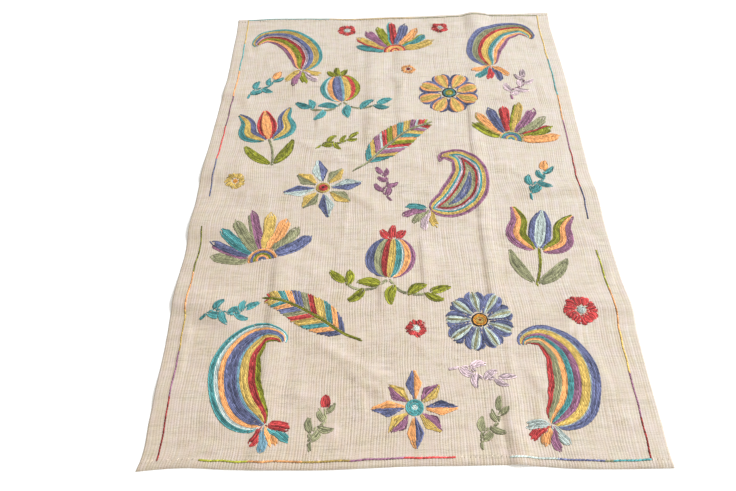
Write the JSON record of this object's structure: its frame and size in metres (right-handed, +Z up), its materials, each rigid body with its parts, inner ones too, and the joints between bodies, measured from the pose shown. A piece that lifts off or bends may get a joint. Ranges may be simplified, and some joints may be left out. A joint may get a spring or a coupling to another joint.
{
  "type": "kilim rug",
  "caption": "Flat-woven natural cotton floor rug with hemmed ends, soft storage creases and colourful stitched flower, leaf and paisley motifs inside a thin border line.",
  "frame": {"origin": "middle of the rug's underside, on the floor", "axes": "+X across the rug, +Y from the near hem to the far hem, +Z up out of the stitched face"},
  "size_m": [1.2151, 1.8113, 0.0132],
  "materials": {
    "natural_cotton": "matt unbleached cotton in a ribbed flat weave",
    "yarn_teal": "matt stitched yarn",
    "yarn_red": "matt stitched yarn",
    "yarn_peach": "matt stitched yarn",
    "yarn_gold": "matt stitched yarn",
    "yarn_slate": "matt stitched yarn",
    "yarn_purple": "matt stitched yarn",
    "yarn_lime": "matt stitched yarn",
    "yarn_sage": "matt stitched yarn",
    "yarn_sky": "matt stitched yarn",
    "yarn_ice": "matt stitched yarn",
    "yarn_lilac": "matt stitched yarn",
    "yarn_orange": "matt stitched yarn",
    "yarn_maroon": "matt stitched yarn",
    "yarn_black": "matt stitched yarn"
  },
  "bodies": {
    "root": {"rug_cloth": "natural_cotton"}
  },
  "joints": []
}
